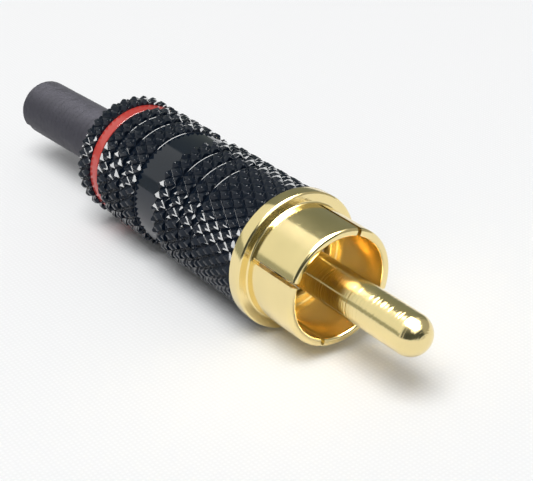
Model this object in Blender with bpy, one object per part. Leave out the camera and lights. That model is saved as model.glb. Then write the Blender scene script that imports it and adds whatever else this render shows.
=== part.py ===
"""Phono cable plug, male: knurled screw-on shell, slotted gold contact and a spring strain relief.

The plug lies on its side on the floor (z = 0) with its axis along X and its pin towards +X.
Sizes are in millimetres. Axial places are measured along the plug's axis from the mouth of
the outer contact, positive towards the tip of the pin.
"""
import math

import bmesh
import bpy
from mathutils import Matrix, Vector

MM = 0.001

# Running clearances
TURNED_FIT = 0.15
SEAM = 0.1
THREAD_PLAY = 0.3
TAG_PLAY = 0.1
LINER_PLAY = 0.22
COLLAR_PLAY = 0.37
RING_PLAY = 0.04
SPRING_HOLE_PLAY = 0.28

# Centre pin with its solder cup
PIN_RADIUS = 1.6
PIN_REACH = 7.61
PIN_DOME = 1.55
PIN_TAIL_RELIEF = 0.25
PIN_CLINCH_HEIGHT = 0.5
PIN_CLINCH_WIDTH = 0.35
CUP_LENGTH = 5.2
CUP_DEPTH = 4.0
CUP_WALL = 0.4
CUP_WINDOW = 2.8

# Insulators
BUSH_WALL = 0.7
BUSH_FLANGE_WIDTH = 0.6
WASHER_WIDTH = 0.6

# Outer contact: slotted sleeve, flange and threaded spigot, turned as one piece
SLEEVE_WALL = 0.66
LIP_ROUND = 0.3
SLEEVE_LENGTH = 5.05
SLEEVE_FILLET = 0.2
BORE_DEPTH = 5.36
SLOT_WIDTH = 0.36
SLOT_END = 0.66
SLOT_TURN = 68.5
SLOT_COUNT = 4
FLANGE_HEIGHT = 0.87
FLANGE_WIDTH = 1.12
FLANGE_CHAMFER = 0.14
FLANGE_OVERHANG = 0.3
SEAT_LEDGE = 0.8
SEAT_DEPTH = 1.2
SEAT_WALL = 0.55
RELIEF_WIDTH = 0.5
THREAD_HEIGHT = 0.3
THREAD_LENGTH = 3.75
THREAD_CHAMFER = 0.25
BOSS_WALL = 0.35
BOSS_LENGTH = 1.05

# Ground tag: a stamped ring, an arm and two open cable fingers
TAG_THICKNESS = 0.4
TAG_RING_WIDTH = 0.8
TAG_ARM_WRAP = 48.0
TAG_ARM_LENGTH = 7.4
FINGER_LENGTH = 3.2
FINGER_WRAP = 216.0
TAG_COLUMN = 12.0

# Liner: insulating tube over the solder joints
LINER_WALL = 0.35
LINER_LENGTH = 11.0

# Shell
MOUTH_WALL = 0.39
MOUTH_RUNOUT = 0.9
KNURL_DEPTH = 0.33
KNURL_COUNT = 32
KNURL_HALF_PITCH = 0.85
DIAMOND_TOP = 0.46
SHELL_EDGE = 0.14
GROOVE_WIDTH = 0.44
BAND_LENGTHS = (5.17, 1.32, 1.42, 1.61)
SMOOTH_LENGTH = 3.02
SMOOTH_DEPTH = 0.05
REAR_BAND_LENGTHS = (1.84, 1.45, 1.56)
LAST_BAND_LENGTH = 1.45
REAR_BEVEL = 0.28
REAR_FACE_INSET = 0.32
END_WALL = 1.4

# Colour ring in its groove
RING_WIDTH = 1.0
RING_WALL = 0.26
RING_SUNK = 0.34

# Spring strain relief
SPRING_RADIUS = 2.5
SPRING_WIRE = 0.6
SPRING_PITCH = 0.67
SPRING_REACH = 14.8
SPRING_DROOP = 2.6
COLLAR_TURNS = 3

# Roundness of the turned pieces
CONTACT_STEPS = 32
SMALL_STEPS = 20
SPRING_STEPS = 10
WIRE_SIDES = 5
ARC_STEPS = 3

# Radii that follow from the sizes, from the pin outwards
PIN_TAIL_RADIUS = PIN_RADIUS - PIN_TAIL_RELIEF
PIN_CLINCH_RADIUS = PIN_RADIUS + PIN_CLINCH_HEIGHT
CUP_BORE = PIN_TAIL_RADIUS - CUP_WALL
SPIGOT_BORE = PIN_RADIUS + BUSH_WALL + 2 * TURNED_FIT
BOSS_RADIUS = SPIGOT_BORE + BOSS_WALL
SEAT_RADIUS = SPIGOT_BORE + SEAT_LEDGE
RELIEF_RADIUS = SEAT_RADIUS + SEAT_WALL
THREAD_RADIUS = RELIEF_RADIUS + THREAD_HEIGHT
TAG_RING_RADIUS = BOSS_RADIUS + SEAM + TAG_RING_WIDTH
LINER_RADIUS = BOSS_RADIUS + SEAM + TAG_THICKNESS + TAG_PLAY + LINER_WALL
SHELL_BORE = LINER_RADIUS + LINER_PLAY
COLLAR_RADIUS = SHELL_BORE - COLLAR_PLAY
SHELL_MOUTH = THREAD_RADIUS + THREAD_PLAY
ROOT_RADIUS = SHELL_MOUTH + MOUTH_WALL
REAR_FACE_RADIUS = ROOT_RADIUS - REAR_FACE_INSET
SHELL_RADIUS = ROOT_RADIUS + KNURL_DEPTH
FLANGE_RADIUS = SHELL_RADIUS + FLANGE_OVERHANG
SLEEVE_RADIUS = FLANGE_RADIUS - FLANGE_HEIGHT
RING_RADIUS = SHELL_RADIUS - RING_SUNK
RING_FLOOR = RING_RADIUS - RING_WALL - RING_PLAY
SPRING_HOLE = SPRING_RADIUS + SPRING_HOLE_PLAY

# Places along the axis that follow from the sizes
FLANGE_FRONT = -SLEEVE_LENGTH
FLANGE_REAR = FLANGE_FRONT - FLANGE_WIDTH
BORE_FLOOR = -BORE_DEPTH
SPIGOT_END = FLANGE_REAR - RELIEF_WIDTH - THREAD_LENGTH
BOSS_END = SPIGOT_END - BOSS_LENGTH
SEAT_FLOOR = BORE_FLOOR - SEAT_DEPTH
SHELL_FRONT = FLANGE_REAR - SEAM
MOUTH_END = SHELL_FRONT - RELIEF_WIDTH - THREAD_LENGTH - MOUTH_RUNOUT
BANDS_FRONT = SHELL_FRONT - SHELL_EDGE
SMOOTH_FRONT = BANDS_FRONT + GROOVE_WIDTH - sum(length + GROOVE_WIDTH for length in BAND_LENGTHS)
SMOOTH_REAR = SMOOTH_FRONT - SMOOTH_LENGTH
RING_GROOVE_FRONT = SMOOTH_REAR + GROOVE_WIDTH - sum(length + GROOVE_WIDTH for length in REAR_BAND_LENGTHS)
RING_GROOVE_REAR = RING_GROOVE_FRONT - RING_WIDTH - 2 * SEAM
BANDS_REAR = RING_GROOVE_REAR - LAST_BAND_LENGTH
SHELL_REAR = BANDS_REAR - REAR_BEVEL
END_WALL_FRONT = SHELL_REAR + END_WALL
WASHER_FRONT = BOSS_END - SEAM
CLINCH_FRONT = WASHER_FRONT - WASHER_WIDTH - SEAM
PIN_REAR = CLINCH_FRONT - CUP_LENGTH
TAG_FRONT = SPIGOT_END - SEAM
LINER_FRONT = TAG_FRONT - TAG_THICKNESS - TURNED_FIT
LINER_REAR = LINER_FRONT - LINER_LENGTH
PIN_TIP = PIN_REACH + PIN_DOME
SPRING_REAR = SHELL_REAR - SPRING_REACH

# The plug's middle stands over the origin and its flange touches the floor
PLUG_MIDDLE = (PIN_TIP + SPRING_REAR) / 2
AXIS_HEIGHT = FLANGE_RADIUS * math.cos(math.pi / CONTACT_STEPS)


def clear_scene():
    for item in list(bpy.data.objects):
        bpy.data.objects.remove(item, do_unlink=True)


def make_material(name, colour, roughness, metallic):
    material = bpy.data.materials.new(name)
    material.use_nodes = True
    shader = material.node_tree.nodes["Principled BSDF"]
    shader.inputs["Base Color"].default_value = (*colour, 1.0)
    shader.inputs["Roughness"].default_value = roughness
    shader.inputs["Metallic"].default_value = metallic
    return material


def make_frame(name, parent=None):
    """Add an empty on the plug's axis, at the mouth of the outer contact."""
    frame = bpy.data.objects.new(name, None)
    bpy.context.collection.objects.link(frame)
    if parent:
        frame.parent = parent
    else:
        frame.location = Vector((-PLUG_MIDDLE, 0.0, AXIS_HEIGHT)) * MM
    return frame


def add_object(name, data, material, parent, x=0.0):
    """Add a mesh or curve as a named piece, with its origin x millimetres along the axis."""
    data.name = name
    data.materials.append(material)
    piece = bpy.data.objects.new(name, data)
    bpy.context.collection.objects.link(piece)
    piece.parent = parent
    piece.location = Vector((x, 0.0, 0.0)) * MM
    return piece


def finish_mesh(bm, name, sharp_angle=35.0):
    """Scale a mesh drawn in millimetres, turn its faces outwards and shade it smooth."""
    bmesh.ops.recalc_face_normals(bm, faces=bm.faces)
    bmesh.ops.scale(bm, vec=(MM, MM, MM), verts=bm.verts)
    mesh = bpy.data.meshes.new(name)
    bm.to_mesh(mesh)
    bm.free()
    mesh.shade_smooth()
    mesh.set_sharp_from_angle(angle=math.radians(sharp_angle))
    return mesh


def arc(centre, radius, start, stop, steps=ARC_STEPS):
    """Points of an arc in the (x, radius) plane, angles in degrees."""
    points = []
    for step in range(steps + 1):
        angle = math.radians(start + (stop - start) * step / steps)
        points.append((centre[0] + radius * math.cos(angle), centre[1] + radius * math.sin(angle)))
    return points


def turn_profile(profile, steps, closed=True):
    """Spin a profile of (x, radius) points round the X axis, a flat facet downwards."""
    bm = bmesh.new()
    phase = math.pi / steps
    verts = [bm.verts.new((x, radius * math.sin(phase), -radius * math.cos(phase))) for x, radius in profile]
    pairs = list(zip(verts, verts[1:]))
    if closed:
        pairs.append((verts[-1], verts[0]))
    edges = [bm.edges.new(pair) for pair in pairs]
    bmesh.ops.spin(bm, geom=verts + edges, cent=(0, 0, 0), axis=(1, 0, 0), angle=math.tau,
                   steps=steps, use_merge=True)
    bmesh.ops.remove_doubles(bm, verts=bm.verts, dist=0.001)
    return bm


def add_cut(piece, cutter):
    """Cut a piece with a hidden solid."""
    cutter.hide_render = True
    cutter.display_type = "WIRE"
    cut = piece.modifiers.new(cutter.name, "BOOLEAN")
    cut.operation = "DIFFERENCE"
    cut.solver = "EXACT"
    cut.object = cutter


def box_mesh(low, high):
    """A box between two corners in millimetres."""
    bm = bmesh.new()
    bmesh.ops.create_cube(bm, size=1.0)
    size = Vector(high) - Vector(low)
    centre = (Vector(high) + Vector(low)) / 2
    bmesh.ops.transform(bm, matrix=Matrix.Translation(centre) @ Matrix.Diagonal((*size, 1.0)), verts=bm.verts)
    return bm


def contact_profile():
    """Section of the outer contact, from the bore at the mouth round the outside to the boss."""
    bore = SLEEVE_RADIUS - SLEEVE_WALL
    points = arc((-LIP_ROUND, bore + LIP_ROUND), LIP_ROUND, -90, 0)
    points += arc((-LIP_ROUND, SLEEVE_RADIUS - LIP_ROUND), LIP_ROUND, 0, 90)
    fillet_centre = (FLANGE_FRONT + SLEEVE_FILLET, SLEEVE_RADIUS + SLEEVE_FILLET)
    points += arc(fillet_centre, SLEEVE_FILLET, 270, 180)
    points += [(FLANGE_FRONT, FLANGE_RADIUS - FLANGE_CHAMFER),
               (FLANGE_FRONT - FLANGE_CHAMFER, FLANGE_RADIUS),
               (FLANGE_REAR, FLANGE_RADIUS),
               (FLANGE_REAR, RELIEF_RADIUS),
               (FLANGE_REAR - RELIEF_WIDTH, RELIEF_RADIUS),
               (FLANGE_REAR - RELIEF_WIDTH - THREAD_CHAMFER, THREAD_RADIUS),
               (SPIGOT_END + THREAD_CHAMFER, THREAD_RADIUS),
               (SPIGOT_END, THREAD_RADIUS - THREAD_CHAMFER),
               (SPIGOT_END, BOSS_RADIUS),
               (BOSS_END, BOSS_RADIUS),
               (BOSS_END, SPIGOT_BORE),
               (SEAT_FLOOR, SPIGOT_BORE),
               (SEAT_FLOOR, SEAT_RADIUS),
               (BORE_FLOOR, SEAT_RADIUS),
               (BORE_FLOOR, bore)]
    return points


def build_contact(gold, parent):
    """Outer contact with its spring slots."""
    mesh = finish_mesh(turn_profile(contact_profile(), CONTACT_STEPS), "outer_contact")
    contact = add_object("outer_contact", mesh, gold, parent)
    reach = 2 * SLEEVE_RADIUS
    half = SLOT_WIDTH / 2
    for index in range(SLOT_COUNT // 2):
        slot = box_mesh((BORE_FLOOR + SLOT_END, -reach, -half), (LIP_ROUND, reach, half))
        cutter = add_object(f"slot_cut_{index + 1}", finish_mesh(slot, "slot"), gold, parent)
        cutter.rotation_euler = (math.radians(SLOT_TURN + index * 360.0 / SLOT_COUNT), 0.0, 0.0)
        add_cut(contact, cutter)


def build_bush(plastic, parent):
    """Flanged insulating bush between the outer contact and the pin."""
    bore = PIN_RADIUS + TURNED_FIT
    front = SEAT_FLOOR + SEAM + BUSH_FLANGE_WIDTH
    rim = SEAT_RADIUS - TURNED_FIT
    stem = SPIGOT_BORE - TURNED_FIT
    profile = [(front, bore), (front, rim), (SEAT_FLOOR + SEAM, rim), (SEAT_FLOOR + SEAM, stem),
               (BOSS_END, stem), (BOSS_END, bore)]
    mesh = finish_mesh(turn_profile(profile, SMALL_STEPS), "insulating_bush")
    add_object("insulating_bush", mesh, plastic, parent)


def build_washer(fibre, parent):
    """Insulating washer behind the boss, under the pin's clinched collar."""
    bore = PIN_RADIUS + TURNED_FIT
    rear = WASHER_FRONT - WASHER_WIDTH
    profile = [(WASHER_FRONT, bore), (WASHER_FRONT, SPIGOT_BORE), (rear, SPIGOT_BORE), (rear, bore)]
    mesh = finish_mesh(turn_profile(profile, SMALL_STEPS), "rear_washer")
    add_object("rear_washer", mesh, fibre, parent)


def build_pin(gold, parent):
    """Centre pin: domed tip, straight shank, clinched collar and a solder cup with a window."""
    profile = [(PIN_TIP, 0.0)]
    dome_steps = 5
    for step in range(1, dome_steps + 1):
        angle = math.pi / 2 * step / dome_steps
        profile.append((PIN_REACH + PIN_DOME * math.cos(angle), PIN_RADIUS * math.sin(angle)))
    clinch_rear = CLINCH_FRONT - PIN_CLINCH_WIDTH
    profile += [(CLINCH_FRONT, PIN_RADIUS), (CLINCH_FRONT, PIN_CLINCH_RADIUS),
                (clinch_rear, PIN_CLINCH_RADIUS), (clinch_rear, PIN_TAIL_RADIUS),
                (PIN_REAR, PIN_TAIL_RADIUS), (PIN_REAR, CUP_BORE),
                (PIN_REAR + CUP_DEPTH, CUP_BORE), (PIN_REAR + CUP_DEPTH + CUP_BORE / 2, 0.0)]
    mesh = finish_mesh(turn_profile(profile, SMALL_STEPS, closed=False), "centre_pin")
    pin = add_object("centre_pin", mesh, gold, parent)
    window = box_mesh((PIN_REAR - CUP_WALL, -2 * PIN_TAIL_RADIUS, CUP_BORE / 4),
                      (PIN_REAR + CUP_WINDOW, 2 * PIN_TAIL_RADIUS, 2 * PIN_TAIL_RADIUS))
    add_cut(pin, add_object("cup_window_cut", finish_mesh(window, "window"), gold, parent))


def build_tag(tinned, parent):
    """Ground tag: its ring sits on the boss, its arm and fingers follow the liner's bore."""
    inner = BOSS_RADIUS + SEAM
    outer = inner + TAG_THICKNESS
    rear = TAG_FRONT - TAG_THICKNESS
    ring = [(TAG_FRONT, inner), (TAG_FRONT, TAG_RING_RADIUS), (rear, TAG_RING_RADIUS), (rear, inner)]
    bm = turn_profile(ring, SMALL_STEPS)
    finger_front = rear - TAG_ARM_LENGTH + FINGER_LENGTH
    rows = [rear + TAG_THICKNESS / 2, finger_front, rear - TAG_ARM_LENGTH]
    spans = [TAG_ARM_WRAP, FINGER_WRAP, FINGER_WRAP]
    reach = round(FINGER_WRAP / TAG_COLUMN / 2)
    columns = [TAG_COLUMN * step for step in range(-reach, reach + 1)]
    arm = bmesh.new()
    grid = {}
    for row, x in enumerate(rows):
        for column, turn in enumerate(columns):
            if abs(turn) <= spans[row] / 2:
                angle = math.radians(turn)
                point = (x, inner * math.sin(angle), -inner * math.cos(angle))
                grid[row, column] = arm.verts.new(point)
    for row in range(len(rows) - 1):
        for column in range(len(columns) - 1):
            corners = [(row, column), (row, column + 1), (row + 1, column + 1), (row + 1, column)]
            if all(corner in grid for corner in corners):
                arm.faces.new([grid[corner] for corner in corners])
    wall = bmesh.ops.extrude_face_region(arm, geom=list(arm.faces))["geom"]
    for vert in [item for item in wall if isinstance(item, bmesh.types.BMVert)]:
        vert.co.y *= outer / inner
        vert.co.z *= outer / inner
    tag = add_object("ground_tag", finish_mesh(bm, "ground_tag"), tinned, parent)
    blade = add_object("tag_arm", finish_mesh(arm, "tag_arm"), tinned, parent)
    blade.hide_render = True
    blade.display_type = "WIRE"
    join = tag.modifiers.new("arm", "BOOLEAN")
    join.operation = "UNION"
    join.solver = "EXACT"
    join.object = blade


def build_liner(film, parent):
    """Insulating tube round the solder joints."""
    bore = LINER_RADIUS - LINER_WALL
    profile = [(LINER_FRONT, bore), (LINER_FRONT, LINER_RADIUS), (LINER_REAR, LINER_RADIUS),
               (LINER_REAR, bore)]
    add_object("liner_tube", finish_mesh(turn_profile(profile, SMALL_STEPS), "liner_tube"), film, parent)


class ShellDrawing:
    """Shell mesh made of rings of KNURL_COUNT points, joined front to back."""

    def __init__(self):
        self.bm = bmesh.new()
        self.step = math.tau / KNURL_COUNT
        self.parity = 0
        self.first = None
        self.last = None

    def point(self, x, radius, place):
        """Place a point; place counts knurl pitches round the shell."""
        angle = place * self.step
        return self.bm.verts.new((x, radius * math.sin(angle), -radius * math.cos(angle)))

    def ring(self, x, radius):
        return [self.point(x, radius, index + self.parity / 2) for index in range(KNURL_COUNT)]

    def join(self, ring):
        """Continue the surface from the last ring to this one."""
        if self.last:
            for index, vert in enumerate(ring):
                after = (index + 1) % KNURL_COUNT
                self.bm.faces.new((self.last[index], self.last[after], ring[after], vert))
        self.first = self.first or ring
        self.last = ring

    def turn(self, x, radius):
        self.join(self.ring(x, radius))

    def knurl(self, front, length):
        """Cross-cut a band into flat-topped diamonds, its rows fitted to the band's length."""
        halves = max(2, round(length / KNURL_HALF_PITCH))
        pitch = length / halves
        rows = [self.last]
        start = self.parity
        for row in range(1, halves + 1):
            self.parity = start + row
            rows.append(self.ring(front - row * pitch, ROOT_RADIUS))
        for row in range(halves + 1):
            for index in range(KNURL_COUNT):
                self.diamond(rows, row, index, front - row * pitch, start, pitch)
        self.parity = (start + halves) % 2
        shift = (start + halves) // 2
        self.last = rows[-1][-shift % KNURL_COUNT:] + rows[-1][:-shift % KNURL_COUNT]

    def diamond(self, rows, row, index, x, start, pitch):
        """One diamond between four root points, or the half of one at a band's edge."""
        left = rows[row][index]
        right = rows[row][(index + 1) % KNURL_COUNT]
        middle = index + (start + row + 1) / 2
        reach = DIAMOND_TOP / 2
        roots = [left]
        tops = [self.point(x, SHELL_RADIUS, middle - reach)]
        if row > 0:
            roots.append(rows[row - 1][(index + 1) % KNURL_COUNT])
            tops.append(self.point(x + pitch * DIAMOND_TOP, SHELL_RADIUS, middle))
        roots.append(right)
        tops.append(self.point(x, SHELL_RADIUS, middle + reach))
        if row < len(rows) - 1:
            roots.append(rows[row + 1][index])
            tops.append(self.point(x - pitch * DIAMOND_TOP, SHELL_RADIUS, middle))
        self.bm.faces.new(tops)
        for corner in range(len(roots)):
            after = (corner + 1) % len(roots)
            self.bm.faces.new((roots[corner], roots[after], tops[after], tops[corner]))


def build_shell(black, parent):
    """Knurled shell: turned grooves between the bands, a smooth belt, a ring groove, an end wall."""
    drawing = ShellDrawing()
    drawing.turn(MOUTH_END, SHELL_BORE)
    drawing.turn(MOUTH_END, SHELL_MOUTH)
    drawing.turn(SHELL_FRONT, SHELL_MOUTH)
    drawing.turn(SHELL_FRONT, ROOT_RADIUS)
    drawing.turn(BANDS_FRONT, ROOT_RADIUS)
    x = BANDS_FRONT
    for length in BAND_LENGTHS:
        if x < BANDS_FRONT:
            drawing.turn(x - GROOVE_WIDTH, ROOT_RADIUS)
            x -= GROOVE_WIDTH
        drawing.knurl(x, length)
        x -= length
    drawing.turn(SMOOTH_FRONT - SMOOTH_DEPTH, ROOT_RADIUS - SMOOTH_DEPTH)
    drawing.turn(SMOOTH_REAR + SMOOTH_DEPTH, ROOT_RADIUS - SMOOTH_DEPTH)
    drawing.turn(SMOOTH_REAR, ROOT_RADIUS)
    x = SMOOTH_REAR
    for length in REAR_BAND_LENGTHS:
        if x < SMOOTH_REAR:
            drawing.turn(x - GROOVE_WIDTH, ROOT_RADIUS)
            x -= GROOVE_WIDTH
        drawing.knurl(x, length)
        x -= length
    drawing.turn(RING_GROOVE_FRONT, RING_FLOOR)
    drawing.turn(RING_GROOVE_REAR, RING_FLOOR)
    drawing.turn(RING_GROOVE_REAR, ROOT_RADIUS)
    drawing.knurl(RING_GROOVE_REAR, LAST_BAND_LENGTH)
    drawing.turn(SHELL_REAR, REAR_FACE_RADIUS)
    drawing.turn(SHELL_REAR, SPRING_HOLE)
    drawing.turn(END_WALL_FRONT, SPRING_HOLE)
    drawing.turn(END_WALL_FRONT, SHELL_BORE)
    drawing.join(drawing.first)
    add_object("knurled_shell", finish_mesh(drawing.bm, "knurled_shell", 20.0), black, parent)


def build_ring(red, parent):
    """Colour ring, a little below the knurl's crests."""
    front = RING_GROOVE_FRONT - SEAM
    rear = RING_GROOVE_REAR + SEAM
    inner = RING_RADIUS - RING_WALL
    profile = [(front, inner), (front, RING_RADIUS), (rear, RING_RADIUS), (rear, inner)]
    add_object("colour_ring", finish_mesh(turn_profile(profile, CONTACT_STEPS), "colour_ring"), red, parent)


def build_spring(steel, parent):
    """Close-wound strain relief with a wide collar of turns inside the shell's end wall."""
    wire = SPRING_WIRE / 2
    narrow = SPRING_RADIUS - wire
    wide = COLLAR_RADIUS - wire
    front = END_WALL_FRONT + SEAM + wire + COLLAR_TURNS * SPRING_PITCH
    turns = (front - SPRING_REAR - wire) / SPRING_PITCH
    count = round(turns * SPRING_STEPS)
    bm = bmesh.new()
    sections = []
    for index in range(count + 1):
        turn = turns * index / count
        blend = min(1.0, max(0.0, turn - COLLAR_TURNS + 1.0))
        coil = wide + (narrow - wide) * blend * blend * (3.0 - 2.0 * blend)
        angle = math.tau * turn
        section = []
        for side in range(WIRE_SIDES):
            tilt = math.tau * side / WIRE_SIDES
            radius = coil + wire * math.cos(tilt)
            x = front - turn * SPRING_PITCH + wire * math.sin(tilt) - END_WALL_FRONT
            section.append(bm.verts.new((x, radius * math.cos(angle), radius * math.sin(angle))))
        sections.append(section)
    for before, after in zip(sections, sections[1:]):
        for side in range(WIRE_SIDES):
            beside = (side + 1) % WIRE_SIDES
            bm.faces.new((before[side], before[beside], after[beside], after[side]))
    bm.faces.new(sections[0])
    bm.faces.new(sections[-1])
    mesh = finish_mesh(bm, "strain_relief_spring", 70.0)
    spring = add_object("strain_relief_spring", mesh, steel, parent, END_WALL_FRONT)
    spring.rotation_euler = (0.0, -math.radians(SPRING_DROOP), 0.0)


def main():
    clear_scene()
    gold = make_material("gold_plate", (0.83, 0.69, 0.38), 0.2, 1.0)
    black = make_material("black_plate", (0.02, 0.022, 0.028), 0.25, 0.9)
    red = make_material("red_enamel", (0.62, 0.05, 0.04), 0.3, 0.0)
    steel = make_material("black_steel", (0.05, 0.05, 0.06), 0.45, 0.8)
    tinned = make_material("tinned_brass", (0.72, 0.7, 0.66), 0.3, 1.0)
    plastic = make_material("white_insulator", (0.85, 0.85, 0.82), 0.4, 0.0)
    fibre = make_material("brown_fibre", (0.25, 0.12, 0.06), 0.6, 0.0)
    film = make_material("clear_liner", (0.8, 0.82, 0.84), 0.3, 0.0)
    body = make_frame("body_frame")
    travel = make_frame("shell_travel_axis", body)
    turn = make_frame("shell_turn_axis", travel)
    build_contact(gold, body)
    build_bush(plastic, body)
    build_washer(fibre, body)
    build_pin(gold, body)
    build_tag(tinned, body)
    build_liner(film, body)
    build_shell(black, turn)
    build_ring(red, turn)
    build_spring(steel, travel)


main()
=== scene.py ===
"""Phono cable plug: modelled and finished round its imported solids, on a plain pale stage.

Run as a script. Places along the plug are given in millimetres from the mouth of the sleeve,
positive towards the tip of the pin.
"""
import math
from typing import NamedTuple

import bmesh
import bpy
from bpy.props import FloatProperty, FloatVectorProperty, IntProperty, PointerProperty
from bpy.types import Operator, Panel, PropertyGroup
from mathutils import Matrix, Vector


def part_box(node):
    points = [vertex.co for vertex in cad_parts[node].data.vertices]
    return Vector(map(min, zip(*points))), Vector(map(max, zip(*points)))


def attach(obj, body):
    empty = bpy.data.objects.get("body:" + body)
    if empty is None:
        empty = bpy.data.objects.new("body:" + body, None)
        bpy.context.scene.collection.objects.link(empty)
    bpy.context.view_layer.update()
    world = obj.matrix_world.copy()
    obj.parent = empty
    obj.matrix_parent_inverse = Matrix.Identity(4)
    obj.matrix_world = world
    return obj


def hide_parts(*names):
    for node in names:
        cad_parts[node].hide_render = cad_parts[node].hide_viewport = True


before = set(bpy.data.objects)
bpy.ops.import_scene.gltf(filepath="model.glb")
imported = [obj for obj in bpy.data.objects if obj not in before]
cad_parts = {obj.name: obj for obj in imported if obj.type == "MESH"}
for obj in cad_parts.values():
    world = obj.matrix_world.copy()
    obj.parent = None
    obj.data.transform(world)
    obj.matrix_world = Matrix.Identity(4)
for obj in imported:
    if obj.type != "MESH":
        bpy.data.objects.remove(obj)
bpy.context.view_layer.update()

bl_info = {
    "name": "Phono cable plug",
    "version": (1, 0, 0),
    "blender": (4, 5, 0),
    "location": "3D View > Sidebar > Plug",
    "description": "Models a phono cable plug: knurled shell, gold contacts and spring",
    "category": "Add Mesh",
}

MM = 0.001
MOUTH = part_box("outer_contact")[1].x
PIN_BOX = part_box("centre_pin")
AXIS_HEIGHT = (PIN_BOX[0].z + PIN_BOX[1].z) / 2


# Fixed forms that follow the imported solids: places along the plug and radii in millimetres
SPIGOT_END, SPIGOT_BORE = -10.42, 2.6
SEAT_FLOOR, SEAT_RADIUS = -6.56, 3.4
BOSS_END, BOSS_RADIUS = -11.47, 2.95
THREAD_END = -9.95
CLINCH_FRONT, CLINCH_REAR, CLINCH_RADIUS = -12.27, -12.62, 2.1
CUP_FLOOR, CUP_REAR, CUP_RADIUS, CUP_BORE = -13.47, -17.47, 1.35, 0.95
BUSH_FRONT, BUSH_SHOULDER = -5.86, -6.46
BUSH_BORE, BUSH_RADIUS, BUSH_FLANGE = 1.75, 2.45, 3.25
SHELL_FRONT, SHELL_REAR = -6.27, -28.93
SHELL_FRONT_RADIUS, SHELL_REAR_RADIUS = 4.9, 4.62
MOUTH_END, END_WALL, SPRING_HOLE = -11.42, -27.53, 2.78
BAR_START, BAR_FRONT, BAR_REAR, BAR_LENGTH = -5.4, -6.0, -28.8, 24.5
RING_FRONT, RING_REAR, RING_TOP, RING_LOW, RING_FLOOR = -26.08, -27.15, 4.94, 4.67, 4.61
SPRING_REAR = -43.73
SLOT_TURN = 68.5

# Fronts and rears of the shell's knurled bands
BANDS = ((-6.41, -11.58), (-12.02, -13.34), (-13.78, -15.2), (-15.64, -17.25),
         (-20.27, -22.11), (-22.55, -24.0), (-24.44, -26.0), (-27.2, -28.65))

# Cards that only reflections show: ranges of direction and of rise in degrees, and tone
CARDS = {
    "far_card": ((98, 174), (-3, 66), (0.21, 0.23, 0.2)),
    "camera_card": ((-88, 30), (0, 34), (0.06, 0.07, 0.07)),
    "left_card": ((-86, -32), (34, 60), (0.11, 0.12, 0.11)),
    "side_card": ((30, 98), (4, 44), (0.4, 0.4, 0.37)),
    "soft_card": ((-32, 62), (36, 54), (2.0, 2.0, 1.95)),
    "window_card": ((174, 265), (-3, 16), (0.35, 0.37, 0.33)),
    "sky_card": ((174, 265), (16, 50), (0.87, 0.88, 0.83)),
    "glint_card": ((-32, 70), (54, 66), (30.0, 30.0, 29.5)),
    "zenith_card": ((-180, 180), (66, 91), (30.0, 30.0, 29.5)),
}


class Finish(NamedTuple):
    """What a finish takes, its colour being one of the panel's"""
    colour: str
    darker: float
    roughness: float
    spread: float
    effect: str
    scale: float
    relief: float
    sockets: dict = {}
    depth: float = 0.02


FINISHES = {
    "plug_gold": Finish("gold", 0.9, 0.13, 0.03, "turning_marks", 7000.0, 0.3,
                        {"Metallic": 1.0}),
    "plug_pin": Finish("gold", 0.88, 0.14, 0.03, "turning_marks", 5200.0, 1.0,
                       {"Metallic": 1.0}, 0.032),
    "plug_black": Finish("black", 0.7, 0.09, 0.02, "speckle", 900.0, 0.05, {"IOR": 1.46}),
    "plug_red": Finish("red", 0.88, 0.16, 0.04, "speckle", 700.0, 0.1, {"IOR": 1.65}),
    "plug_steel": Finish("steel", 0.75, 0.54, 0.04, "speckle", 1500.0, 0.12,
                         {"IOR": 1.54, "Specular Tint": (0.94, 0.91, 1.0, 1.0)}),
    "plug_tin": Finish("tin", 0.85, 0.3, 0.06, "speckle", 900.0, 0.4, {"Metallic": 1.0}),
    "plug_white": Finish("white", 0.93, 0.4, 0.05, "speckle", 800.0, 0.2),
    "plug_fibre": Finish("fibre", 0.7, 0.65, 0.08, "speckle", 1200.0, 0.6),
    "plug_film": Finish("film", 0.95, 0.2, 0.04, "speckle", 500.0, 0.1,
                        {"Transmission Weight": 0.85, "IOR": 1.45}),
}
BORED_ROUGHNESS = 0.27
TOOTH_SPECULAR = (0.5, 0.27)


def length(name, description, default):
    """Length property whose default is given in millimetres."""
    return FloatProperty(name=name, description=description, default=default * MM,
                         unit="LENGTH", precision=5)


def colour(name, description, default):
    """Colour property."""
    return FloatVectorProperty(name=name, description=description, default=default,
                               subtype="COLOR", size=3, min=0.0, max=1.0)


class PlugContactSizes(PropertyGroup):
    sleeve_radius: length("Sleeve radius", "Outside radius of the slotted sleeve", 4.7)
    sleeve_wall: length("Sleeve wall", "Thickness of the sleeve", 0.66)
    sleeve_length: length("Sleeve length", "From the mouth to the face of the flange", 5.05)
    bore_depth: length("Bore depth", "From the mouth to the floor of the sleeve's bore", 5.36)
    slot_width: length("Slot width", "Width of the saw cuts in the sleeve", 0.36)
    slot_length: length("Slot length", "Depth of the saw cuts from the mouth", 4.7)
    flange_radius: length("Flange radius", "Outside radius of the flange", 5.54)
    flange_width: length("Flange width", "Length of the flange along the axis", 1.12)
    thread_radius: length("Thread radius", "Radius over the spigot's thread", 4.25)
    thread_depth: length("Thread depth", "Depth of the spigot's thread", 0.34)
    thread_pitch: length("Thread pitch", "Travel of the shell in one turn", 0.75)
    pin_radius: length("Pin radius", "Radius of the centre pin's shank", 1.6)
    pin_reach: length("Pin reach", "From the mouth to the start of the pin's tip", 7.61)
    pin_tip: length("Pin tip", "Length of the pin's rounded tip", 1.55)


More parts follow.
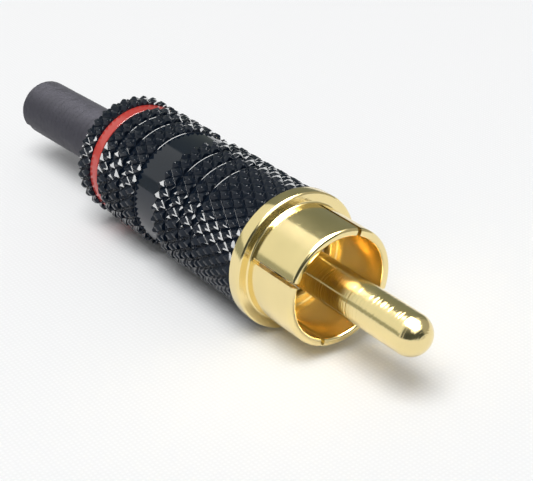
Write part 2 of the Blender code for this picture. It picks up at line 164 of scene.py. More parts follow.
class PlugShellSizes(PropertyGroup):
    crest_radius: length("Crest radius", "Radius over the knurl", 5.27)
    root_radius: length("Root radius", "Radius at the bottom of the knurl's grooves", 4.94)
    belt_radius: length("Belt radius", "Radius of the smooth belt", 4.89)
    groove_radius: length("Groove radius", "Radius at the floor of the turned grooves", 4.9)
    knurl_pitch: length("Knurl pitch", "Length of one diamond along the axis", 1.71)
    knurl_flank: length("Knurl flank", "Width of a diamond's sloping side in plan", 0.26)
    knurl_rim: length("Knurl rim", "Rounding of a diamond's rim", 0.05)
    bore_radius: length("Bore radius", "Radius of the shell's bore", 4.12)
    mouth_radius: length("Mouth radius", "Radius of the mouth that takes the spigot", 4.55)
    knurl_count: IntProperty(name="Knurl count", description="Diamonds round the shell",
                             default=32, min=8)


class PlugSpringSizes(PropertyGroup):
    coil_radius: length("Coil radius", "Outside radius of the close turns", 2.5)
    wire: length("Wire", "Thickness of the spring's wire", 0.6)
    pitch: length("Pitch", "Distance between turns", 0.67)
    collar_radius: length("Collar radius", "Outside radius of the turns in the shell", 3.75)
    droop: FloatProperty(name="Droop", description="Sag of the spring below the plug's axis",
                         default=math.radians(2.6), unit="ROTATION")


class PlugColours(PropertyGroup):
    gold: colour("Gold", "Pale gold plate", (0.93, 0.77, 0.39))
    # Bore gold is painted shade: a deeper, redder gold that stands in for the amber of light
    # bounced between the gold walls inside the sleeve
    bore: colour("Bore gold", "Deeper gold inside the sleeve", (0.94, 0.72, 0.31))
    black: colour("Black plate", "Glossy black plate of the shell", (0.006, 0.011, 0.021))
    red: colour("Red", "Colour ring", (0.54, 0.046, 0.036))
    steel: colour("Black steel", "Blackened wire of the spring", (0.006, 0.006, 0.017))
    tin: colour("Tin", "Tinned ground tag", (0.72, 0.7, 0.66))
    white: colour("White", "Moulded insulating bush", (0.8, 0.8, 0.77))
    fibre: colour("Fibre", "Pressed insulating washer", (0.25, 0.12, 0.06))
    film: colour("Film", "Clear liner tube", (0.8, 0.82, 0.84))
    floor: colour("Floor", "White cloth under the plug", (0.91, 0.915, 0.92))


# Modelling by hand, step by step


def put_down():
    """Leave edit mode and deselect everything."""
    if bpy.context.object and bpy.context.object.mode != "OBJECT":
        bpy.ops.object.mode_set(mode="OBJECT")
    bpy.ops.object.select_all(action="DESELECT")


def spot(x, radius):
    """Point above the axis, x from the mouth and radius from the axis in millimetres."""
    return Vector((MOUTH + x * MM, 0.0, AXIS_HEIGHT + radius * MM))


def take(piece):
    """Select one piece and make it active."""
    put_down()
    piece.select_set(True)
    bpy.context.view_layer.objects.active = piece


def pick(piece, kind, test):
    """In edit mode, select the vertices, edges or faces that pass a test."""
    bpy.ops.mesh.select_mode(type=kind)
    bpy.ops.mesh.select_all(action="DESELECT")
    drawing = bmesh.from_edit_mesh(piece.data)
    drawing.normal_update()
    items = {"VERT": drawing.verts, "EDGE": drawing.edges, "FACE": drawing.faces}[kind]
    for item in items:
        if test(item):
            item.select_set(True)
    drawing.select_flush_mode()
    bmesh.update_edit_mesh(piece.data)


def off_axis(point):
    """Distance of a point from the plug's axis."""
    return math.hypot(point.y, point.z - AXIS_HEIGHT)


def settle(piece, sharp=30.0):
    """Put the piece's place in its mesh and shade it smooth up to an angle."""
    take(piece)
    bpy.ops.object.transform_apply(location=True, rotation=True, scale=True)
    bpy.ops.object.shade_smooth_by_angle(angle=math.radians(sharp))
    put_down()


def flatten(piece):
    """Shade a piece's flats as flats, and leave the rounding to its narrow faces."""
    take(piece)
    flats = piece.modifiers.new("flats", "WEIGHTED_NORMAL")
    flats.weight = 90
    flats.keep_sharp = True
    bpy.ops.object.modifier_apply(modifier=flats.name)
    put_down()


def cut(piece, cutter, operation="DIFFERENCE"):
    """Cut a piece with a solid, which is used up."""
    take(piece)
    modifier = piece.modifiers.new("cut", "BOOLEAN")
    modifier.operation = operation
    modifier.solver = "MANIFOLD"
    modifier.object = cutter
    bpy.ops.object.modifier_apply(modifier=modifier.name)
    bpy.data.objects.remove(cutter, do_unlink=True)


def corner(centre, radius, start, stop, steps=4):
    """Points of a rounded corner of a profile, angles in degrees."""
    points = []
    for step in range(steps + 1):
        angle = math.radians(start + (stop - start) * step / steps)
        points.append((centre[0] + radius * math.cos(angle),
                       centre[1] + radius * math.sin(angle)))
    return points


def lathe(name, profile, steps):
    """Extrude a vertex along (x, radius) points in millimetres and spin them round the axis."""
    put_down()
    bpy.ops.mesh.primitive_plane_add(size=MM, location=spot(*profile[0]))
    piece = bpy.context.object
    piece.name = name
    piece.data.name = name
    bpy.ops.object.mode_set(mode="EDIT")
    bpy.ops.mesh.select_mode(type="VERT")
    bpy.ops.mesh.select_all(action="SELECT")
    bpy.ops.mesh.merge(type="CENTER")
    for before, after in zip(profile, profile[1:]):
        step = spot(*after) - spot(*before)
        bpy.ops.mesh.extrude_vertices_move(TRANSFORM_OT_translate={"value": step})
    bpy.ops.mesh.select_all(action="SELECT")
    bpy.ops.mesh.spin(steps=steps, angle=math.tau, center=spot(0, 0), axis=(1, 0, 0))
    bpy.ops.mesh.select_all(action="SELECT")
    bpy.ops.mesh.remove_doubles(threshold=0.002 * MM)
    bpy.ops.mesh.normals_make_consistent(inside=False)
    bpy.ops.object.mode_set(mode="OBJECT")
    bpy.ops.object.transform_apply(location=True, rotation=True, scale=True)
    return piece


def check_closed(piece):
    """Stop if a piece has an open edge."""
    drawing = bmesh.new()
    drawing.from_mesh(piece.data)
    loose = sum(1 for edge in drawing.edges if not edge.is_manifold)
    drawing.free()
    if loose:
        raise RuntimeError(f"{piece.name} has {loose} open edges")


def origin_at(piece, x):
    """Put a piece's origin on the plug's axis, x millimetres from the mouth."""
    bpy.context.scene.cursor.location = spot(x, 0)
    take(piece)
    bpy.ops.object.origin_set(type="ORIGIN_CURSOR")


def close_ends(piece):
    """Fill a piece's open ends and turn its faces outward."""
    bpy.ops.object.mode_set(mode="EDIT")
    pick(piece, "EDGE", lambda edge: edge.is_boundary)
    bpy.ops.mesh.fill_holes(sides=0)
    bpy.ops.mesh.select_all(action="SELECT")
    bpy.ops.mesh.normals_make_consistent(inside=False)
    bpy.ops.object.mode_set(mode="OBJECT")


def wind(piece, angle, travel, steps, turns=1):
    """Screw a section round and along the plug's axis, then close its two ends."""
    origin_at(piece, 0)
    screw = piece.modifiers.new("wind", "SCREW")
    screw.axis = "X"
    screw.angle = angle
    screw.screw_offset = travel
    screw.iterations = turns
    screw.steps = steps
    screw.render_steps = steps
    bpy.ops.object.modifier_apply(modifier=screw.name)
    bpy.ops.object.transform_apply(location=True, rotation=True, scale=True)
    close_ends(piece)


# Finishes


def node(tree, kind, **values):
    """Add a node and set its own values."""
    made = tree.nodes.new(kind)
    for key, value in values.items():
        setattr(made, key, value)
    return made


def feed(tree, value, socket):
    """Link a socket to another one, or set it to a value."""
    if isinstance(value, bpy.types.NodeSocket):
        tree.links.new(value, socket)
    else:
        socket.default_value = value


def maths(tree, operation, *values):
    """The result of a sum on numbers or sockets."""
    made = node(tree, "ShaderNodeMath", operation=operation)
    for socket, value in zip(made.inputs, values):
        feed(tree, value, socket)
    return made.outputs[0]


def mixed(tree, kind, factor, first, second):
    """Two colours (RGBA) or two numbers (FLOAT), mixed."""
    made = node(tree, "ShaderNodeMix", data_type=kind)
    for name, value in (("Factor", factor), ("A", first), ("B", second)):
        feed(tree, value, made.inputs[name])
    return made.outputs["Result"]


def remap(tree, value, source, target, kind="LINEAR"):
    """One range of numbers laid over another."""
    made = node(tree, "ShaderNodeMapRange", interpolation_type=kind)
    for name, number in zip(("From Min", "From Max", "To Min", "To Max"), (*source, *target)):
        made.inputs[name].default_value = number
    feed(tree, value, made.inputs["Value"])
    return made.outputs["Result"]


def noise(tree, vector, scale, detail):
    """A cloudy pattern between 0 and 1."""
    texture = node(tree, "ShaderNodeTexNoise", noise_dimensions="3D")
    for name, value in (("Vector", vector), ("Scale", scale), ("Detail", detail)):
        feed(tree, value, texture.inputs[name])
    return texture.outputs["Fac"]


def raised(tree, height, strength, depth):
    """The normal of a surface with relief, its depth in millimetres."""
    made = node(tree, "ShaderNodeBump")
    for name, value in (("Height", height), ("Strength", strength), ("Distance", depth * MM)):
        feed(tree, value, made.inputs[name])
    return made.outputs["Normal"]


def object_place(tree):
    """The place of a point in its piece's own coordinates."""
    return node(tree, "ShaderNodeTexCoord").outputs["Object"]


def new_material(name):
    """A material with its node tree and its shader."""
    material = bpy.data.materials.new(name)
    material.use_nodes = True
    return material, material.node_tree, material.node_tree.nodes["Principled BSDF"]


def new_group(name, inputs, outputs):
    """A node group that takes a vector and numbers, with its two end nodes."""
    group = bpy.data.node_groups.new(name, "ShaderNodeTree")
    group.interface.new_socket("Vector", in_out="INPUT", socket_type="NodeSocketVector")
    for way, sockets in (("INPUT", inputs), ("OUTPUT", outputs)):
        for socket in sockets:
            group.interface.new_socket(socket, in_out=way, socket_type="NodeSocketFloat")
    return group, node(group, "NodeGroupInput"), node(group, "NodeGroupOutput")


def along_and_off(group, vector):
    """Place along X and distance from the plug's axis, from Object coordinates."""
    parts = node(group, "ShaderNodeSeparateXYZ")
    feed(group, vector, parts.inputs[0])
    height = maths(group, "SUBTRACT", parts.outputs["Z"], AXIS_HEIGHT)
    across = maths(group, "MULTIPLY", parts.outputs["Y"], parts.outputs["Y"])
    upward = maths(group, "MULTIPLY", height, height)
    radius = maths(group, "SQRT", maths(group, "ADD", across, upward))
    return parts.outputs["X"], radius


def turning_marks():
    """Node group: fine rings left by the lathe, and broad changes of tone."""
    group, into, out = new_group("turning_marks", ("Scale",), ("Relief", "Tone"))
    along, radius = along_and_off(group, into.outputs["Vector"])
    ring = node(group, "ShaderNodeCombineXYZ")
    for socket, value in zip(ring.inputs, (along, radius)):
        feed(group, maths(group, "MULTIPLY", value, into.outputs["Scale"]), socket)
    feed(group, noise(group, ring.outputs[0], 1.0, 3.0), out.inputs["Relief"])
    feed(group, noise(group, into.outputs["Vector"], 420.0, 2.0), out.inputs["Tone"])
    return group


def speckle():
    """Node group: fine grain, and small uneven patches of tone."""
    group, into, out = new_group("speckle", ("Scale",), ("Relief", "Tone"))
    vector, scale = into.outputs["Vector"], into.outputs["Scale"]
    fine = maths(group, "MULTIPLY", scale, 9.0)
    feed(group, noise(group, vector, fine, 4.0), out.inputs["Relief"])
    feed(group, noise(group, vector, scale, 2.0), out.inputs["Tone"])
    return group


def bore_mask():
    """Node group: 1 inside the sleeve's bore and 0 outside, where the gold's painted shade goes."""
    group, into, out = new_group("bore_mask", (), ("Mask",))
    along, radius = along_and_off(group, into.outputs["Vector"])
    inward = maths(group, "SUBTRACT", along, MOUTH)
    steps = [remap(group, value, (low * MM, high * MM), (0.0, 1.0), "SMOOTHSTEP")
             for value, low, high in ((radius, 2.2, 2.4), (radius, 4.3, 4.1), (inward, -0.1, -0.5))]
    both = maths(group, "MULTIPLY", steps[0], steps[1])
    feed(group, maths(group, "MULTIPLY", both, steps[2]), out.inputs["Mask"])
    return group


def tooth_mask():
    """Node group: 1 on the knurl's diamonds and 0 on the turned surfaces."""
    group, into, out = new_group("tooth_mask", (), ("Mask",))
    radius = along_and_off(group, into.outputs["Vector"])[1]
    mask = remap(group, radius, (4.94 * MM, 5.0 * MM), (0.0, 1.0), "SMOOTHSTEP")
    feed(group, mask, out.inputs["Mask"])
    return group


EFFECTS = {"turning_marks": turning_marks, "speckle": speckle, "bore_mask": bore_mask,
           "tooth_mask": tooth_mask}


def effect(tree, name, vector):
    """A node of one of the shared groups, which is built at its first use."""
    group = bpy.data.node_groups.get(name) or EFFECTS[name]()
    made = node(tree, "ShaderNodeGroup", node_tree=group)
    feed(tree, vector, made.inputs["Vector"])
    return made


def paint_bore_shade(tree, shader, vector, tint):
    """Paint a deeper, redder gold inside the sleeve's bore, a painted shade for the amber of light
    bounced between its gold walls, and give it a duller polish.
    """
    mask = effect(tree, "bore_mask", vector).outputs["Mask"]
    for name, kind, value in (("Base Color", "RGBA", (*tint, 1.0)),
                              ("Roughness", "FLOAT", BORED_ROUGHNESS)):
        plain = shader.inputs[name].links[0].from_socket
        feed(tree, mixed(tree, kind, mask, plain, value), shader.inputs[name])


def dull_teeth(tree, shader, vector):
    """Let the knurl's pressed diamonds reflect less than the turned surfaces."""
    mask = effect(tree, "tooth_mask", vector).outputs["Mask"]
    feed(tree, remap(tree, mask, (0.0, 1.0), TOOTH_SPECULAR), shader.inputs["Specular IOR Level"])


def shade(tint, share):
    """A darker tint of the same colour."""
    return tuple(part * share for part in tint)


def finish_of(name):
    """The material of that name, made at its first use from its row in FINISHES."""
    if name in bpy.data.materials:
        return bpy.data.materials[name]
    if name not in FINISHES:
        raise RuntimeError(f"no finish named {name}")
    finish = FINISHES[name]
    tints = bpy.context.scene.plug_colours
    tint = getattr(tints, finish.colour)
    material, tree, shader = new_material(name)
    for key, value in finish.sockets.items():
        shader.inputs[key].default_value = value
    place = object_place(tree)
    group = effect(tree, finish.effect, place)
    group.inputs["Scale"].default_value = finish.scale
    tone = group.outputs["Tone"]
    tinted = mixed(tree, "RGBA", tone, (*shade(tint, finish.darker), 1.0), (*tint, 1.0))
    rough = (finish.roughness - finish.spread, finish.roughness + finish.spread)
    feed(tree, tinted, shader.inputs["Base Color"])
    feed(tree, remap(tree, tone, (0.3, 0.7), rough), shader.inputs["Roughness"])
    feed(tree, raised(tree, group.outputs["Relief"], finish.relief, finish.depth),
         shader.inputs["Normal"])
    # The plain gold gets painted shade inside the sleeve's bore: a deeper, redder gold there
    if name == "plug_gold":
        paint_bore_shade(tree, shader, place, tints.bore)
    if name == "plug_black":
        dull_teeth(tree, shader, place)
    return material


def dress(piece, finish, slot, body, *nodes):
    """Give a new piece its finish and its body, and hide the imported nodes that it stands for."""
    piece.data.materials.clear()
    piece.data.materials.append(finish_of(finish))
    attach(piece, body)
    if nodes:
        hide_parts(*nodes)


def refinish(name, finish):
    """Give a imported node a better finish."""
    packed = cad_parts[name]
    for slot in packed.material_slots:
        slot.material = finish_of(finish)


# One operator for each piece


class PLUG_OT_outer_contact(Operator):
    """Turn the outer contact: sleeve, flange and spigot, then cut its slots and its thread"""
    bl_idname = "plug.outer_contact"
    bl_label = "Outer contact"

    def execute(self, context):
        sizes = context.scene.plug_contact
        outer = sizes.sleeve_radius / MM
        bore = (sizes.sleeve_radius - sizes.sleeve_wall) / MM
        face = -sizes.sleeve_length / MM
        deep = -sizes.bore_depth / MM
        back = face - sizes.flange_width / MM
        rim = sizes.flange_radius / MM
        crest = sizes.thread_radius / MM
        floor = crest - sizes.thread_depth / MM
        lip, nose, cove, bevel, edge = 0.22, 0.3, 0.16, 0.14, 0.04
        profile = corner((-lip, bore + lip), lip, -90, 0)
        profile += corner((-nose, outer - nose), nose, 0, 90, 5)
        profile += corner((face + cove, outer + cove), cove, 270, 180, 5)
        profile += corner((face - edge, rim - bevel), edge, 0, 45, 2)
        profile += corner((face - bevel, rim - edge), edge, 45, 90, 2)
        profile += corner((back + edge, rim - edge), edge, 90, 180, 3)
        profile += [(back, floor), (SPIGOT_END + 0.12, floor), (SPIGOT_END, floor - 0.12),
                    (SPIGOT_END, BOSS_RADIUS), (BOSS_END + 0.05, BOSS_RADIUS),
                    (BOSS_END, BOSS_RADIUS - 0.05), (BOSS_END, SPIGOT_BORE),
                    (SEAT_FLOOR, SPIGOT_BORE), (SEAT_FLOOR, SEAT_RADIUS),
                    (deep - 0.08, SEAT_RADIUS), (deep, SEAT_RADIUS + 0.08),
                    (deep, bore - 0.1), (deep + 0.1, bore)]
        profile.append(profile[0])
        contact = lathe("contact_sleeve", profile, 128)
        for turn in (SLOT_TURN, SLOT_TURN + 90):
            self.saw(contact, sizes, turn)
        self.cut_thread(contact, floor, crest, sizes.thread_pitch / MM, back)
        settle(contact)
        dress(contact, "plug_gold", "gold_plate", "plug_body", "outer_contact")
        return {"FINISHED"}

    def saw(self, contact, sizes, turn):
        """Saw right across the sleeve, which makes two slots, at an angle in degrees."""
        depth = sizes.slot_length / MM
        reach = sizes.sleeve_radius / MM + 2.0
        put_down()
        bpy.ops.mesh.primitive_cube_add(size=MM, location=spot((1.0 - depth) / 2, 0),
                                        scale=(depth + 1.0, 2 * reach, sizes.slot_width / MM))
        blade = bpy.context.object
        blade.rotation_euler.x = math.radians(turn)
        take(blade)
        bpy.ops.object.transform_apply(location=True, rotation=True, scale=True)
        cut(contact, blade)

    def cut_thread(self, contact, floor, crest, pitch, back):
        """Wind the thread's ridge round the spigot, its section moved on by one pitch a turn."""
        start = back - 0.75
        turns = int((start - THREAD_END) / pitch)
        foot = floor - 0.15
        put_down()
        bpy.ops.mesh.primitive_circle_add(vertices=4, radius=MM, location=spot(start, floor),
                                          rotation=(math.pi / 2, 0, 0))
        ridge = bpy.context.object
        bpy.ops.object.transform_apply(location=True, rotation=True, scale=True)
        bpy.ops.object.mode_set(mode="EDIT")
        shape = sorted(bmesh.from_edit_mesh(ridge.data).verts, key=lambda vert: vert.co.x)
        upper = sorted(shape[1:3], key=lambda vert: vert.co.z)
        places = [(start - pitch * 0.42, foot), (start - pitch * 0.08, crest),
                  (start + pitch * 0.08, crest), (start + pitch * 0.42, foot)]
        for vert, place in zip((shape[0], upper[1], upper[0], shape[3]), places):
            vert.co = spot(*place)
        bmesh.update_edit_mesh(ridge.data)
        bpy.ops.object.mode_set(mode="OBJECT")
        wind(ridge, math.tau, -pitch * MM, 64, turns)
        take(contact)
        ridge.select_set(True)
        bpy.ops.object.join()


class PLUG_OT_centre_pin(Operator):
    """Turn the centre pin, its domed tip, its clinched collar and its solder cup"""
    bl_idname = "plug.centre_pin"
    bl_label = "Centre pin"

    def execute(self, context):
        sizes = context.scene.plug_contact
        shank = sizes.pin_radius / MM
        reach = sizes.pin_reach / MM
        tip = sizes.pin_tip / MM
        profile = [(reach + tip, 0.0)]
        for step in range(1, 13):
            angle = math.pi / 2 * step / 12
            profile.append((reach + tip * math.cos(angle), shank * math.sin(angle)))
        edge = 0.06
        profile += [(CLINCH_FRONT, shank), (CLINCH_FRONT, CLINCH_RADIUS - edge),
                    (CLINCH_FRONT - edge, CLINCH_RADIUS), (CLINCH_REAR + edge, CLINCH_RADIUS),
                    (CLINCH_REAR, CLINCH_RADIUS - edge), (CLINCH_REAR, CUP_RADIUS),
                    (CUP_REAR + edge, CUP_RADIUS), (CUP_REAR, CUP_RADIUS - edge),
                    (CUP_REAR, CUP_BORE), (CUP_FLOOR, CUP_BORE), (CUP_FLOOR + CUP_BORE / 2, 0.0)]
        pin = lathe("pin", profile, 96)
        put_down()
        window_place, window_size = spot(-16.5, 1.55), (3.66, 4.0, 2.625)
        bpy.ops.mesh.primitive_cube_add(size=MM, location=window_place, scale=window_size)
        mill = context.object
        take(mill)
        bpy.ops.object.transform_apply(location=True, rotation=True, scale=True)
        cut(pin, mill)
        settle(pin)
        dress(pin, "plug_pin", "gold_plate", "plug_body", "centre_pin")
        return {"FINISHED"}


class PLUG_OT_insulators(Operator):
    """Turn the insulating bush and refinish the washer, the liner and the ground tag"""
    bl_idname = "plug.insulators"
    bl_label = "Insulators and ground tag"

    def execute(self, context):
        edge = 0.08
        profile = [(BUSH_FRONT, BUSH_BORE), (BUSH_FRONT, BUSH_FLANGE - edge),
                   (BUSH_FRONT - edge, BUSH_FLANGE), (BUSH_SHOULDER, BUSH_FLANGE),
                   (BUSH_SHOULDER, BUSH_RADIUS), (BOSS_END, BUSH_RADIUS),
                   (BOSS_END, BUSH_BORE), (BUSH_FRONT, BUSH_BORE)]
        bush = lathe("bush", profile, 96)
        settle(bush)
        dress(bush, "plug_white", "white_insulator", "plug_body", "insulating_bush")
        refinish("rear_washer", "plug_fibre")
        refinish("liner_tube", "plug_film")
        refinish("ground_tag", "plug_tin")
        return {"FINISHED"}


class PLUG_OT_shell(Operator):
    """Knurl a bar, then keep what lies inside a form turned with grooves, belt and bore"""
    bl_idname = "plug.shell"
    bl_label = "Knurled shell"

    def execute(self, context):
        sizes = context.scene.plug_shell
        bar = self.knurl_bar(sizes)
        check_closed(bar)
        form = self.turned_form(sizes)
        check_closed(form)
        cut(bar, form, "INTERSECT")
        bar.name = "shell_barrel"
        settle(bar, 32.0)
        flatten(bar)
        dress(bar, "plug_black", "black_plate", "shell", "knurled_shell")
        return {"FINISHED"}

    def knurl_bar(self, sizes):
        """Model one diamond and copy it round and along a bar."""
        count = sizes.knurl_count
        pitch = sizes.knurl_pitch / MM
        root = sizes.root_radius / MM
        half = math.pi / count
        middle = spot(BAR_START, root)
        put_down()
        bpy.ops.mesh.primitive_circle_add(vertices=4, radius=MM, fill_type="NGON", location=middle)
        bar = bpy.context.object
        bpy.ops.object.transform_apply(location=True, rotation=True, scale=True)
        bpy.ops.object.mode_set(mode="EDIT")
        bpy.ops.mesh.select_mode(type="VERT")
        bpy.ops.mesh.select_all(action="SELECT")
        bpy.ops.transform.resize(value=(pitch / 2, root * math.sin(half), 1),
                                 center_override=middle)
        pick(bar, "VERT", lambda vert: abs(vert.co.y) > 0.1 * MM)
        bpy.ops.transform.translate(value=(0, 0, -root * MM * (1 - math.cos(half))))
        bpy.ops.mesh.select_mode(type="FACE")
        bpy.ops.mesh.select_all(action="SELECT")
        depth = sizes.crest_radius - sizes.root_radius
        bpy.ops.mesh.inset(thickness=sizes.knurl_flank, depth=depth)
        bpy.ops.mesh.select_mode(type="EDGE")
        bpy.ops.mesh.bevel(offset=sizes.knurl_rim, segments=2, affect="EDGES")
        turn = 2 * half
        while turn < math.tau - 0.01:
            self.copy(bar, 0.0, turn)
            turn *= 2
        self.copy(bar, -pitch / 2, half)
        reach = pitch
        while reach < BAR_LENGTH:
            self.copy(bar, -reach, 0.0)
            reach *= 2
        bpy.ops.mesh.select_all(action="SELECT")
        bpy.ops.mesh.remove_doubles(threshold=0.004 * MM)
        for x, rear, front in ((BAR_FRONT, False, True), (BAR_REAR, True, False)):
            bpy.ops.mesh.select_all(action="SELECT")
            bpy.ops.mesh.bisect(plane_co=spot(x, 0), plane_no=(1, 0, 0), clear_inner=rear,
                                clear_outer=front)
        close_ends(bar)
        return bar

    def copy(self, bar, along, turn):
        """Copy all the diamonds so far, along the axis in millimetres and round it."""
        bpy.ops.mesh.select_all(action="SELECT")
        bpy.ops.mesh.duplicate()
        if along:
            bpy.ops.transform.translate(value=(along * MM, 0, 0))
        if turn:
            bpy.ops.transform.rotate(value=turn, orient_axis="X", center_override=spot(0, 0))

    def turned_form(self, sizes):
        """The shell as the lathe leaves it, standing clear over the bands that keep their knurl."""
        crest = sizes.crest_radius / MM
        clear = crest + 0.4
        groove = sizes.groove_radius / MM
        belt = sizes.belt_radius / MM
        mouth = sizes.mouth_radius / MM
        bore = sizes.bore_radius / MM
        floors = (groove, groove, groove, belt, groove, groove, RING_FLOOR)
        profile = [(MOUTH_END, bore), (MOUTH_END, mouth), (SHELL_FRONT - 0.1, mouth),
                   (SHELL_FRONT, mouth + 0.1), (SHELL_FRONT, SHELL_FRONT_RADIUS - 0.08),
                   (SHELL_FRONT - 0.08, SHELL_FRONT_RADIUS)]
        for (front, rear), (after, _), floor in zip(BANDS, BANDS[1:], floors):
            profile += [(front, crest - 0.08), (front - 0.05, clear)]
            if floor == RING_FLOOR:
                profile += [(rear + 1.0, clear), (rear, 4.92), (rear, floor), (after, floor)]
            elif floor == groove:
                profile += [(rear + 0.05, clear), (rear, crest - 0.08), (rear, floor),
                            (after + 0.025, floor), (after, floor + 0.02)]
            else:
                profile += [(rear + 0.05, clear), (rear, crest - 0.08), (rear, floor + 0.04),
                            (rear - 0.04, floor), (after + 0.03, floor), (after, floor + 0.024)]
        front, rear = BANDS[-1]
        profile += [(front, crest - 0.08), (front - 0.05, clear), (rear, clear),
                    (rear, crest - 0.02), (SHELL_REAR, SHELL_REAR_RADIUS),
                    (SHELL_REAR, SPRING_HOLE), (END_WALL, SPRING_HOLE), (END_WALL, bore),
                    (MOUTH_END, bore)]
        return lathe("turned_form", profile, 160)


class PLUG_OT_colour_ring(Operator):
    """Turn the rounded colour ring"""
    bl_idname = "plug.colour_ring"
    bl_label = "Colour ring"

    def execute(self, context):
        edge = 0.03
        profile = [(RING_FRONT, RING_LOW)]
        profile += corner((RING_FRONT - edge, RING_TOP - edge), edge, 0, 90, 4)
        profile += corner((RING_REAR + edge, RING_TOP - edge), edge, 90, 180, 4)
        profile += [(RING_REAR, RING_LOW), (RING_FRONT, RING_LOW)]
        ring = lathe("ring_red", profile, 128)
        settle(ring)
        dress(ring, "plug_red", "red_enamel", "shell", "colour_ring")
        return {"FINISHED"}


class PLUG_OT_spring(Operator):
    """Wind the strain relief: a flat-sided wire screwed along the axis, with a wide collar"""
    bl_idname = "plug.spring"
    bl_label = "Spring strain relief"

    def execute(self, context):
        sizes = context.scene.plug_spring
        wire = sizes.wire / MM
        pitch = sizes.pitch / MM
        mean = sizes.coil_radius / MM - wire / 2
        wide = sizes.collar_radius / MM - wire / 2
        front = END_WALL + 0.1 + wire / 2 + 3 * pitch
        turns = (front - SPRING_REAR - wire / 2) / pitch
        put_down()
        bpy.ops.mesh.primitive_plane_add(size=wire * MM, location=spot(front, mean),
                                         rotation=(math.pi / 2, 0, 0))
        spring = context.object
        spring.scale.x = 1.095
        bpy.ops.object.transform_apply(location=True, rotation=True, scale=True)
        bpy.ops.object.mode_set(mode="EDIT")
        bpy.ops.mesh.select_mode(type="VERT")
        bpy.ops.mesh.select_all(action="SELECT")
        bpy.ops.mesh.delete(type="ONLY_FACE")
        bpy.ops.object.mode_set(mode="OBJECT")
        wind(spring, math.tau * turns, -pitch * turns * MM, round(48 * turns))
        self.widen(spring, front, pitch, wide - mean)
        origin_at(spring, END_WALL)
        spring.rotation_euler.y = -sizes.droop
        spring.name = "spring_coils"
        settle(spring, 40.0)
        flatten(spring)
        dress(spring, "plug_steel", "black_steel", "strain_relief", "strain_relief_spring")
        return {"FINISHED"}

    def widen(self, spring, front, pitch, growth):
        """Widen the first two turns into a collar, with one turn that leads down to the rest."""
        for vert in spring.data.vertices:
            turn = (MOUTH + front * MM - vert.co.x) / (pitch * MM)
            share = min(1.0, max(0.0, turn - 2.0))
            extra = growth * MM * (1 - share * share * (3 - 2 * share))
            radius = off_axis(vert.co)
            vert.co.y *= 1 + extra / radius
            vert.co.z += (vert.co.z - AXIS_HEIGHT) * extra / radius


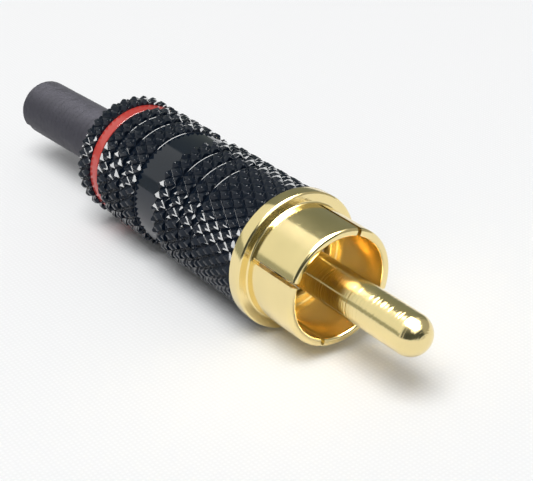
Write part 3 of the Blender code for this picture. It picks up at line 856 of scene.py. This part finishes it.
class PLUG_OT_stage(Operator):
    """Lay the cloth, light it softly and set the camera at the photograph's angle"""
    bl_idname = "plug.stage"
    bl_label = "Stage"

    def execute(self, context):
        put_down()
        bpy.ops.mesh.primitive_plane_add(size=1.6, location=(0, 0, 0))
        floor = context.object
        floor.name = "floor_cloth"
        bpy.ops.object.mode_set(mode="EDIT")
        bpy.ops.mesh.subdivide(number_cuts=7)
        bpy.ops.object.mode_set(mode="OBJECT")
        floor.data.materials.append(self.cloth(context.scene.plug_colours.floor))
        self.air(context.scene)
        self.lamp("ceiling_light", 2.2, -55, 66, 1.35, 42.8)
        for name, (turns, rises, tone) in CARDS.items():
            self.card(name, turns, rises, tone)
        self.camera(context.scene)
        return {"FINISHED"}

    def cloth(self, tint):
        """White cloth with a fine weave."""
        material, tree, shader = new_material("stage_cloth")
        shader.inputs["Roughness"].default_value = 0.9
        shader.inputs["Specular IOR Level"].default_value = 0.0
        place = object_place(tree)
        waves = []
        for direction in ("X", "Y"):
            wave = node(tree, "ShaderNodeTexWave", wave_type="BANDS", bands_direction=direction)
            for name, value in (("Vector", place), ("Scale", 900.0), ("Distortion", 1.2),
                                ("Detail", 1.0)):
                feed(tree, value, wave.inputs[name])
            waves.append(wave.outputs["Fac"])
        weave = maths(tree, "MULTIPLY", *waves)
        tinted = mixed(tree, "RGBA", weave, (*shade(tint, 0.95), 1.0), (*tint, 1.0))
        feed(tree, tinted, shader.inputs["Base Color"])
        feed(tree, raised(tree, weave, 0.15, 0.05), shader.inputs["Normal"])
        return material

    def air(self, scene):
        """White surroundings for the camera and for reflections, and a soft light from them."""
        world = bpy.data.worlds.new("studio_air")
        scene.world = world
        world.use_nodes = True
        tree = world.node_tree
        back = tree.nodes["Background"]
        seen = node(tree, "ShaderNodeLightPath")
        share = maths(tree, "MAXIMUM", seen.outputs["Is Camera Ray"], seen.outputs["Is Glossy Ray"])
        share = maths(tree, "MAXIMUM", share, seen.outputs["Is Transmission Ray"])
        back.inputs["Color"].default_value = (1.0, 1.0, 1.0, 1.0)
        feed(tree, remap(tree, share, (0.0, 1.0), (0.34, 1.0)), back.inputs["Strength"])

    def lamp(self, name, distance, azimuth, rise, size, power):
        """Square soft light aimed at the plug from a direction in degrees."""
        put_down()
        place = self.toward(distance, azimuth, rise)
        bpy.ops.object.light_add(type="AREA", location=place)
        lamp = bpy.context.object
        lamp.name = name
        lamp.data.size = size
        lamp.data.energy = power
        lamp.visible_glossy = False
        aim = Vector((0.0, 0.0, AXIS_HEIGHT)) - place
        lamp.rotation_euler = aim.to_track_quat("-Z", "Y").to_euler()

    def toward(self, distance, azimuth, rise):
        """A point seen from the plug in a direction, azimuth from +X towards +Y, in degrees."""
        turn = math.radians(azimuth)
        lift = math.radians(rise)
        level = math.cos(lift)
        return Vector((level * math.cos(turn), level * math.sin(turn), math.sin(lift))) * distance

    def card(self, name, turns, rises, tone):
        """A dull card that only reflections show, part of a sphere round the plug."""
        put_down()
        bpy.ops.mesh.primitive_uv_sphere_add(segments=120, ring_count=60, radius=0.7)
        card = bpy.context.object
        card.name = name
        bpy.ops.object.mode_set(mode="EDIT")

        def outside(face):
            centre = face.calc_center_median()
            turn = math.degrees(math.atan2(centre.y, centre.x))
            rise = math.degrees(math.atan2(centre.z, math.hypot(centre.x, centre.y)))
            turned = (turn - turns[0]) % 360 < turns[1] - turns[0]
            return not (turned and rises[0] < rise < rises[1])

        pick(card, "FACE", outside)
        bpy.ops.mesh.delete(type="FACE")
        bpy.ops.object.mode_set(mode="OBJECT")
        material, _, shader = new_material(name)
        shader.inputs["Base Color"].default_value = (0.0, 0.0, 0.0, 1.0)
        shader.inputs["Specular IOR Level"].default_value = 0.0
        shader.inputs["Emission Color"].default_value = (*tone, 1.0)
        shader.inputs["Emission Strength"].default_value = 1.0
        card.data.materials.append(material)
        card.visible_camera = False
        card.visible_diffuse = False
        card.visible_shadow = False

    def camera(self, scene):
        """Camera found from the circles and edges of the plug in the photograph."""
        azimuth = math.radians(53.48)
        rise = math.radians(28.44)
        back = Vector((math.sin(azimuth) * math.cos(rise), -math.cos(azimuth) * math.cos(rise),
                       math.sin(rise)))
        right = Vector((math.cos(azimuth), math.sin(azimuth), 0.0))
        up = back.cross(right)
        fitted, scale = back * 111.19 - right * 5.75 + up * 3.74, 0.932
        place = spot(0, 0) + scale * MM * fitted
        put_down()
        bpy.ops.object.camera_add(location=place)
        camera = bpy.context.object
        camera.rotation_euler = (-back).to_track_quat("-Z", "Y").to_euler()
        camera.data.sensor_width = 36.0
        camera.data.lens = 96.94
        camera.data.clip_start = 0.001
        scene.camera = camera
        scene.view_settings.view_transform = "Standard"


class PLUG_PT_panel(Panel):
    """Plug modelling steps and sizes"""
    bl_label = "Phono plug"
    bl_idname = "PLUG_PT_panel"
    bl_space_type = "VIEW_3D"
    bl_region_type = "UI"
    bl_category = "Plug"

    def draw(self, context):
        for step in STEPS:
            self.layout.operator(step.bl_idname)
        for group in GROUPS:
            settings = getattr(context.scene, group)
            box = self.layout.box()
            for name in settings.bl_rna.properties.keys():
                if name not in ("rna_type", "name"):
                    box.prop(settings, name)


STEPS = (PLUG_OT_outer_contact, PLUG_OT_centre_pin, PLUG_OT_insulators, PLUG_OT_shell,
         PLUG_OT_colour_ring, PLUG_OT_spring, PLUG_OT_stage)
GROUPS = {"plug_contact": PlugContactSizes, "plug_shell": PlugShellSizes,
          "plug_spring": PlugSpringSizes, "plug_colours": PlugColours}


def register():
    for made in (*GROUPS.values(), *STEPS, PLUG_PT_panel):
        bpy.utils.register_class(made)
    for name, group in GROUPS.items():
        setattr(bpy.types.Scene, name, PointerProperty(type=group))


def unregister():
    for name in GROUPS:
        delattr(bpy.types.Scene, name)
    for made in reversed((*GROUPS.values(), *STEPS, PLUG_PT_panel)):
        bpy.utils.unregister_class(made)


def main():
    register()
    bpy.ops.plug.outer_contact()
    bpy.ops.plug.centre_pin()
    bpy.ops.plug.insulators()
    bpy.ops.plug.shell()
    bpy.ops.plug.colour_ring()
    bpy.ops.plug.spring()
    bpy.ops.plug.stage()


if __name__ == "__main__":
    main()
